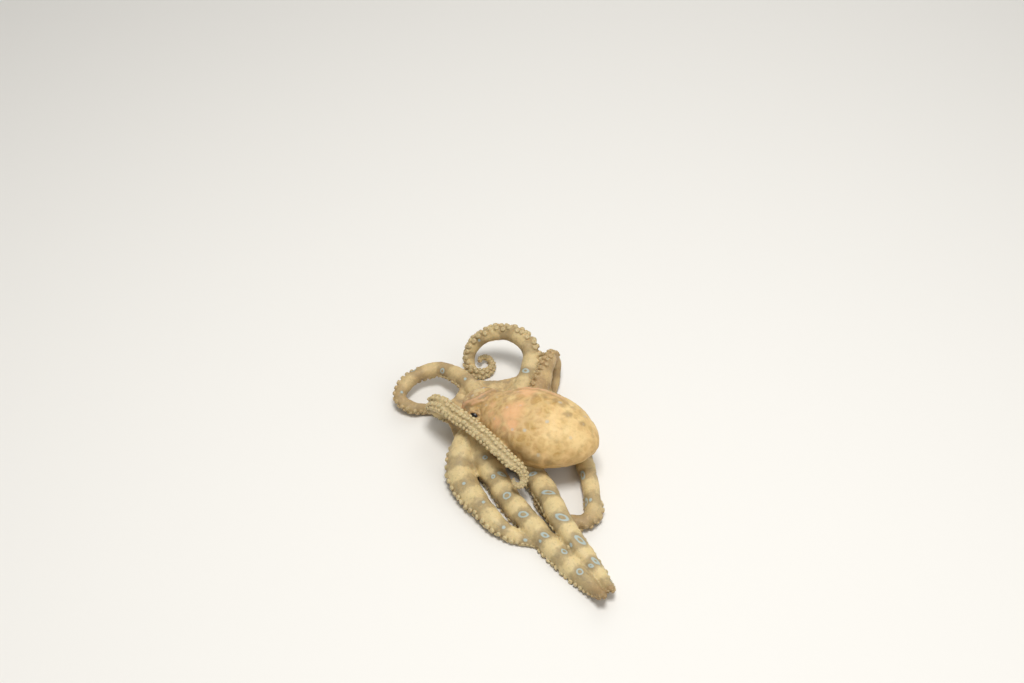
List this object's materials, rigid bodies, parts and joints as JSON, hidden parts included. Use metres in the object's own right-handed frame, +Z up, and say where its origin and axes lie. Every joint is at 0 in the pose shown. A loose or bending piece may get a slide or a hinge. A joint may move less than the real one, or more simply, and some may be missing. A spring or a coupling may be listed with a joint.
{
  "type": "southern blue-ringed octopus",
  "caption": "Still, life-size model of a small blue-ringed octopus crawling on the floor, with an egg-shaped mantle and tapering arms that loop and curl, banded and marked with pale blue rings.",
  "frame": {"origin": "on the floor under the mouth, at the flat that the ring of flesh between the arms rests on", "axes": "+Z up from the floor, +X towards the mantle's hind end, -Y towards the animal's left side"},
  "size_m": [0.0733, 0.1139, 0.0259],
  "materials": {
    "skin": "moist, soft satin",
    "eye": "wet gloss"
  },
  "bodies": {
    "root": {"arm_left_1_base": "skin", "arm_left_1_middle": "skin", "arm_left_1_outer": "skin", "arm_left_1_tip": "skin", "arm_left_2_base": "skin", "arm_left_2_middle": "skin", "arm_left_2_tip": "skin", "arm_left_3_base": "skin", "arm_left_3_middle": "skin", "arm_left_3_tip": "skin", "arm_left_4_base": "skin", "arm_left_4_middle": "skin", "arm_left_4_tip": "skin", "arm_right_1_base": "skin", "arm_right_1_middle": "skin", "arm_right_1_outer": "skin", "arm_right_1_tip": "skin", "arm_right_2_base": "skin", "arm_right_2_lower": "skin", "arm_right_2_middle": "skin", "arm_right_2_outer": "skin", "arm_right_2_tip": "skin", "arm_right_3_base": "skin", "arm_right_3_middle": "skin", "arm_right_3_tip": "skin", "arm_right_4_base": "skin", "arm_right_4_middle": "skin", "arm_right_4_outer": "skin", "arm_right_4_tip": "skin", "crown": "skin", "eye_left": "eye", "eye_right": "eye", "funnel": "skin", "head": "skin", "mantle": "skin", "web_left_1_left_2": "skin", "web_left_2_left_3": "skin", "web_left_3_left_4": "skin", "web_left_4_right_4": "skin", "web_right_1_left_1": "skin", "web_right_2_right_1": "skin", "web_right_4_right_3": "skin"}
  },
  "joints": []
}
